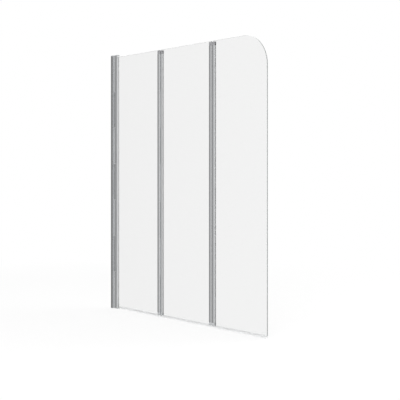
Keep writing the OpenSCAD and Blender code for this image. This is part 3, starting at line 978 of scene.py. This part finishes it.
COVER_WALL = 0.9 * MM
COVER_RIM = 0.3 * MM
COVER_ARC = 0, 80, 8


def screw_covers_piece():
    """Domed covers that snap over the screw heads"""
    node = "lock_screw_caps"
    low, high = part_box(node)
    spans = solid_spans(node)
    radius = (high.x - low.x) / 2
    height = high.y - low.y
    inner = radius - COVER_WALL
    ceiling = height - COVER_WALL
    under = [(0, ceiling), (inner - COVER_RIM, ceiling), (inner, ceiling - COVER_RIM), (inner, 0)]
    dome = arc((0, height / 2), radius, *COVER_ARC, rise=height / 2)
    profile = under + [(radius - COVER_RIM, 0), (radius, COVER_RIM)] + dome + [(0, height)]
    values = row_values(spans, (low.x + high.x) / 2, low.y, sum(spans[0]) / 2, "silver cover")
    piece = grown("lock_screw_covers", turned(profile, TURNED_STEPS, sideways), "upright row", values)
    hand_over(piece, WALL, "cover", node)


class BATHSCREEN_OT_washers(bpy.types.Operator):
    """Make the nylon washers between the knuckles of all the hinges"""

    bl_idname = "bath_screen.washers"
    bl_label = "Washers"

    def execute(self, context):
        washers_piece("wall_hinge_washers", "wall_hinge_rod", WALL)
        for fold, inner_body in FOLDS:
            washers_piece(fold + "_washers", fold + "_rod", inner_body)
        return {"FINISHED"}


class BATHSCREEN_OT_lock_screws(bpy.types.Operator):
    """Make the screws that lock the post, and their snap-on covers"""

    bl_idname = "bath_screen.lock_screws"
    bl_label = "Lock screws and covers"

    def execute(self, context):
        lock_screws_piece()
        screw_covers_piece()
        return {"FINISHED"}


# ---- Caps ----

CAP_FINISHES = {"wall_cap": "light grey moulding", "fold_cap": "dark grey moulding"}
# Below this height are the feet, which are light grey on the fold hinges too
FOOT_REACH = 0.1
FLAT_ANGLE = math.radians(0.5)
EDGE_ANGLE = math.radians(30)


def cap_piece(node, body, slot, edge_round):
    """The caps' solids with their flat faces joined and their edges rounded, but for the pegs' facets"""
    bm = bmesh.new()
    bm.from_mesh(frame["nodes"][node].data)
    bmesh.ops.remove_doubles(bm, verts=bm.verts, dist=2 * WELD)
    bmesh.ops.dissolve_limit(
        bm, angle_limit=FLAT_ANGLE, verts=bm.verts, edges=bm.edges, use_dissolve_boundaries=False)
    edges = [e for e in bm.edges if e.calc_face_angle(0) > EDGE_ANGLE and e.calc_length() > edge_round]
    bmesh.ops.bevel(
        bm, geom=edges, offset=edge_round, segments=3, profile=0.5, affect="EDGES", clamp_overlap=True)
    for face in bm.faces:
        face.material_index = int(slot == "fold_cap" and face.calc_center_median().z < FOOT_REACH)
    finishes = [finish_of(CAP_FINISHES[slot]), finish_of(CAP_FINISHES["wall_cap"])]
    hand_over(object_from(node + "_moulding", bm, finishes), body, slot, node)


class BATHSCREEN_OT_caps(bpy.types.Operator):
    """Make the moulded caps of the wall side and of the fold hinges"""

    bl_idname = "bath_screen.caps"
    bl_label = "Caps"

    def execute(self, context):
        edge_round = context.scene.bath_screen_plastic.edge_round
        for node, body, slot in CAPS:
            cap_piece(node, body, slot, edge_round)
        return {"FINISHED"}


# ---- Drip seals ----

SEAL_RELIEF = 0.05 * MM
BASE_DEPTH = 2.5 * MM
WIPE_HALF = 0.6 * MM
WIPE_ROOT_HALF = WIPE_HALF * 1.6
DRIP_RADIUS = 0.4 * MM
DRIP_ROOT = 1.2 * MM
DRIP_TOP = 1.25 * MM
LIP_STEPS = 6
# Place of the milky finish on a seal, whose clip arms are clear
MILKY_FINISH = 1


def seal_outline(low, high, glass_low, glass_half):
    """Section of a seal in (y, z): the base with its wiping lip and drip lip, from the left round to the
    right; the places where the arms start and end; and the arms' tips, right and left"""
    arm_half = -low.y
    slot = glass_half + SEAL_RELIEF
    base_low = glass_low.z - BASE_DEPTH
    base_top = glass_low.z - SEAL_RELIEF
    neck = base_low - WIPE_HALF
    drip_z = (base_low + low.z) / 2
    below = [(-arm_half, base_low), (-WIPE_ROOT_HALF, base_low), (-WIPE_HALF, neck)]
    below += arc((0, low.z + WIPE_HALF), WIPE_HALF, 180, 360, LIP_STEPS)
    below += [(WIPE_HALF, neck), (WIPE_ROOT_HALF, base_low), (arm_half - DRIP_ROOT, base_low)]
    below += arc((high.y - DRIP_RADIUS, drip_z), DRIP_RADIUS, 250, 410, LIP_STEPS)
    below += [(arm_half, glass_low.z - DRIP_TOP)]
    roots = [(y, base_top) for y in (arm_half, slot, -slot, -arm_half)]
    tip = (arm_half - slot) / 2
    tips = [arc((y, high.z - tip), tip, 0, 180, LIP_STEPS) for y in (slot + tip, -slot - tip)]
    return below, roots, tips


def arm_span(node, low, high):
    """Where the clip arms of a seal's solid start and end"""
    near_top = 0.01 * MM
    places = [v.co.x for v in frame["nodes"][node].data.vertices if high.z - v.co.z < near_top]
    first, last = min(places), max(places)
    return (low.x if first - low.x < WELD else first), (high.x if high.x - last < WELD else last)


def seal_piece(node, glass_node, body):
    """A seal with a stepped section: the clip arms stop short of the hinges, the base runs on"""
    low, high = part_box(node)
    glass_low, glass_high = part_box(glass_node)
    arms = arm_span(node, low, high)
    below, roots, tips = seal_outline(low, high, glass_low, glass_high.y)
    # Sides of the base on which the arms stand
    right_side, left_side = len(below), len(below) + 2
    bm = bmesh.new()
    ends = sorted({low.x, *arms, high.x})
    rings = {x: [bm.verts.new((x, y, z)) for y, z in below + roots] for x in ends}
    for start, end in zip(ends, ends[1:]):
        bare = start < arms[0] or end > arms[1]
        wrap(bm, rings[start], rings[end], MILKY_FINISH, () if bare else (right_side, left_side))
    for side, tip in zip((right_side, left_side), tips):
        chains = [
            [rings[x][side], *[bm.verts.new((x, y, z)) for y, z in tip], rings[x][side + 1]] for x in arms]
        for (a, b), (c, d) in zip(*[zip(chain, chain[1:]) for chain in chains]):
            bm.faces.new((a, b, d, c))
        for chain in chains:
            bm.faces.new(chain).material_index = MILKY_FINISH
    for end in (ends[0], ends[-1]):
        bm.faces.new(rings[end]).material_index = MILKY_FINISH
    bmesh.ops.remove_doubles(bm, verts=bm.verts, dist=WELD / 10)
    finishes = [finish_of("clear soft plastic"), finish_of("milky seal lip")]
    hand_over(object_from(node + "_strip", bm, finishes), body, "seal", node)


class BATHSCREEN_OT_seals(bpy.types.Operator):
    """Make the clear drip seals under the glass"""

    bl_idname = "bath_screen.seals"
    bl_label = "Drip seals"

    def execute(self, context):
        for number, body in enumerate(PANELS, 1):
            seal_piece(f"drip_seal_{number}", f"glass_{number}", body)
        return {"FINISHED"}


# ---- Stage ----

WHITE = (1, 1, 1, 1)
FLOOR_WHITE = (0.97, 0.97, 0.97, 1)
FLOOR_RADIUS = 14.0
FLOOR_STEPS = 96
FLOOR_DROP = 0.4 * MM
# Distances from the wall mount over which the floor's shading fades out
SHADE_NEAR, SHADE_FAR = 1.3, 2.6
SENSOR_WIDTH = 36
LAMPS = (("key_lamp", (3.2, -2.9, 2.6), "key_power"), ("fill_lamp", (2.2, 3.2, 2.6), "fill_power"))
LAMP_WIDTH, LAMP_HEIGHT = 2.6, 2.0
# Brightness that the metal mirrors, by compass angle in degrees: white card and grey flags in turn
SURROUND = (
    (-180, 0.35), (-150, 0.26), (-132, 0.65), (-105, 0.68), (-88, 0.3), (-70, 0.27), (-50, 0.76),
    (-25, 1.0), (160, 1.0), (180, 0.35))
# Steepness over which that goes over to the brightness overhead, and that brightness
OVERHEAD_START, OVERHEAD_FULL, OVERHEAD_LEVEL = 0.45, 0.8, 0.9


def surround_level(tree):
    """Brightness of the studio in the metal's reflections, which depends on the direction alone"""
    parts = parts_of(tree, coordinates(tree, "Generated"))
    angle = calculated(tree, "ARCTAN2", parts["Y"], parts["X"])
    steepness = calculated(tree, "ABSOLUTE", parts["Z"])
    overhead = mapped(tree, steepness, OVERHEAD_START, OVERHEAD_FULL)
    return mixed_value(tree, overhead, banded(tree, angle, -math.pi, math.pi, SURROUND), OVERHEAD_LEVEL)


def backdrop(tree, strength):
    """White light of this strength"""
    values = {"Color": WHITE, "Strength": strength}
    return add_node(tree, "ShaderNodeBackground", values).outputs["Background"]


def cleared(block):
    """The empty node tree of a material or a world, and what tells the rays apart"""
    block.use_nodes = True
    block.node_tree.nodes.clear()
    return block.node_tree, add_node(block.node_tree, "ShaderNodeLightPath").outputs


def light_all_round(scene, ambient):
    """White to the camera and through glass, a studio of cards and flags in metal, plain light on the rest"""
    scene.world = bpy.data.worlds.new("plain studio")
    tree, rays = cleared(scene.world)
    lit = mixed_shader(
        tree, rays["Is Glossy Ray"], backdrop(tree, ambient), backdrop(tree, surround_level(tree)))
    seen = calculated(tree, "MAXIMUM", rays["Is Camera Ray"], rays["Is Transmission Ray"])
    add_node(tree, "ShaderNodeOutputWorld", {"Surface": mixed_shader(tree, seen, lit, backdrop(tree, 1.0))})


def soft_lamp(name, place, target, power):
    """A large soft lamp that lights the piece but doesn't show in its reflections"""
    data = bpy.data.lights.new(name, "AREA")
    data.shape = "RECTANGLE"
    data.size, data.size_y = LAMP_WIDTH, LAMP_HEIGHT
    data.energy = power
    lamp = linked(name, data)
    lamp.location = place
    lamp.rotation_euler = (Vector(target) - Vector(place)).to_track_quat("-Z", "Y").to_euler()
    lamp.visible_camera = False
    lamp.visible_glossy = False
    lamp.visible_transmission = False


def floor_finish(shade):
    """White floor that keeps a share of its shading near the object, and is plain white through glass"""
    finish = bpy.data.materials.new("white floor")
    tree, rays = cleared(finish)
    lit = add_node(tree, "ShaderNodeBsdfDiffuse", {"Color": FLOOR_WHITE})
    white = add_node(tree, "ShaderNodeEmission", {"Color": WHITE, "Strength": 1.0})
    reach = add_node(tree, "ShaderNodeVectorMath", {"Vector": coordinates(tree)}, operation="LENGTH")
    plain = mapped(tree, reach.outputs["Value"], SHADE_NEAR, SHADE_FAR, 1.0 - shade, 1.0)
    direct = calculated(tree, "MULTIPLY", plain, rays["Is Camera Ray"])
    share = calculated(tree, "MAXIMUM", direct, rays["Is Transmission Ray"])
    surface = mixed_shader(tree, share, lit.outputs["BSDF"], white.outputs["Emission"])
    add_node(tree, "ShaderNodeOutputMaterial", {"Surface": surface})
    return finish


class BATHSCREEN_OT_stage(bpy.types.Operator):
    """Set up the camera, the lamps, the light all round and the floor"""

    bl_idname = "bath_screen.stage"
    bl_label = "Stage"

    def execute(self, context):
        scene = context.scene
        settings = scene.bath_screen_stage
        data = bpy.data.cameras.new("camera")
        data.lens = settings.lens
        data.sensor_width = SENSOR_WIDTH
        data.shift_y = settings.shift
        camera = linked("camera", data)
        camera.location = settings.camera_place
        camera.rotation_euler = (math.radians(90), 0, settings.camera_turn)
        scene.camera = camera
        scene.view_settings.view_transform = "Standard"

        light_all_round(scene, settings.ambient)
        middle = (CAD_BOX[0] + CAD_BOX[1]) / 2
        for name, place, power in LAMPS:
            soft_lamp(name, place, middle, getattr(settings, power))

        bm = bmesh.new()
        bmesh.ops.create_circle(
            bm, cap_ends=True, radius=FLOOR_RADIUS, segments=FLOOR_STEPS,
            matrix=Matrix.Translation((middle.x, middle.y, -FLOOR_DROP)))
        floor = object_from("floor", bm, [floor_finish(settings.floor_shade)])
        floor.visible_glossy = False
        return {"FINISHED"}


# ---- Sidebar and registration ----

STEPS = (
    BATHSCREEN_OT_stage,
    BATHSCREEN_OT_profiles,
    BATHSCREEN_OT_rods,
    BATHSCREEN_OT_washers,
    BATHSCREEN_OT_lock_screws,
    BATHSCREEN_OT_caps,
    BATHSCREEN_OT_glass,
    BATHSCREEN_OT_gaskets,
    BATHSCREEN_OT_seals,
)
SETTINGS = {
    "bath_screen_glass": GlassSettings,
    "bath_screen_metal": MetalSettings,
    "bath_screen_plastic": PlasticSettings,
    "bath_screen_stage": StageSettings,
}


class BATHSCREEN_PT_sidebar(bpy.types.Panel):
    """Steps and settings of the folding bath screen"""

    bl_idname = "BATHSCREEN_PT_sidebar"
    bl_label = "Folding bath screen"
    bl_space_type = "VIEW_3D"
    bl_region_type = "UI"
    bl_category = "Bath screen"

    def draw(self, context):
        for step in STEPS:
            self.layout.operator(step.bl_idname)
        for name, group in SETTINGS.items():
            box = self.layout.box()
            box.label(text=group.__doc__)
            for key in group.__annotations__:
                box.prop(getattr(context.scene, name), key)


def register():
    for name, group in SETTINGS.items():
        bpy.utils.register_class(group)
        setattr(bpy.types.Scene, name, bpy.props.PointerProperty(type=group))
    for step in STEPS:
        bpy.utils.register_class(step)
    bpy.utils.register_class(BATHSCREEN_PT_sidebar)


def unregister():
    bpy.utils.unregister_class(BATHSCREEN_PT_sidebar)
    for step in reversed(STEPS):
        bpy.utils.unregister_class(step)
    for name, group in reversed(SETTINGS.items()):
        delattr(bpy.types.Scene, name)
        bpy.utils.unregister_class(group)


def main():
    register()
    bpy.ops.bath_screen.stage()
    bpy.ops.bath_screen.profiles()
    bpy.ops.bath_screen.rods()
    bpy.ops.bath_screen.washers()
    bpy.ops.bath_screen.lock_screws()
    bpy.ops.bath_screen.caps()
    bpy.ops.bath_screen.glass()
    bpy.ops.bath_screen.gaskets()
    bpy.ops.bath_screen.seals()


if __name__ == "__main__":
    main()
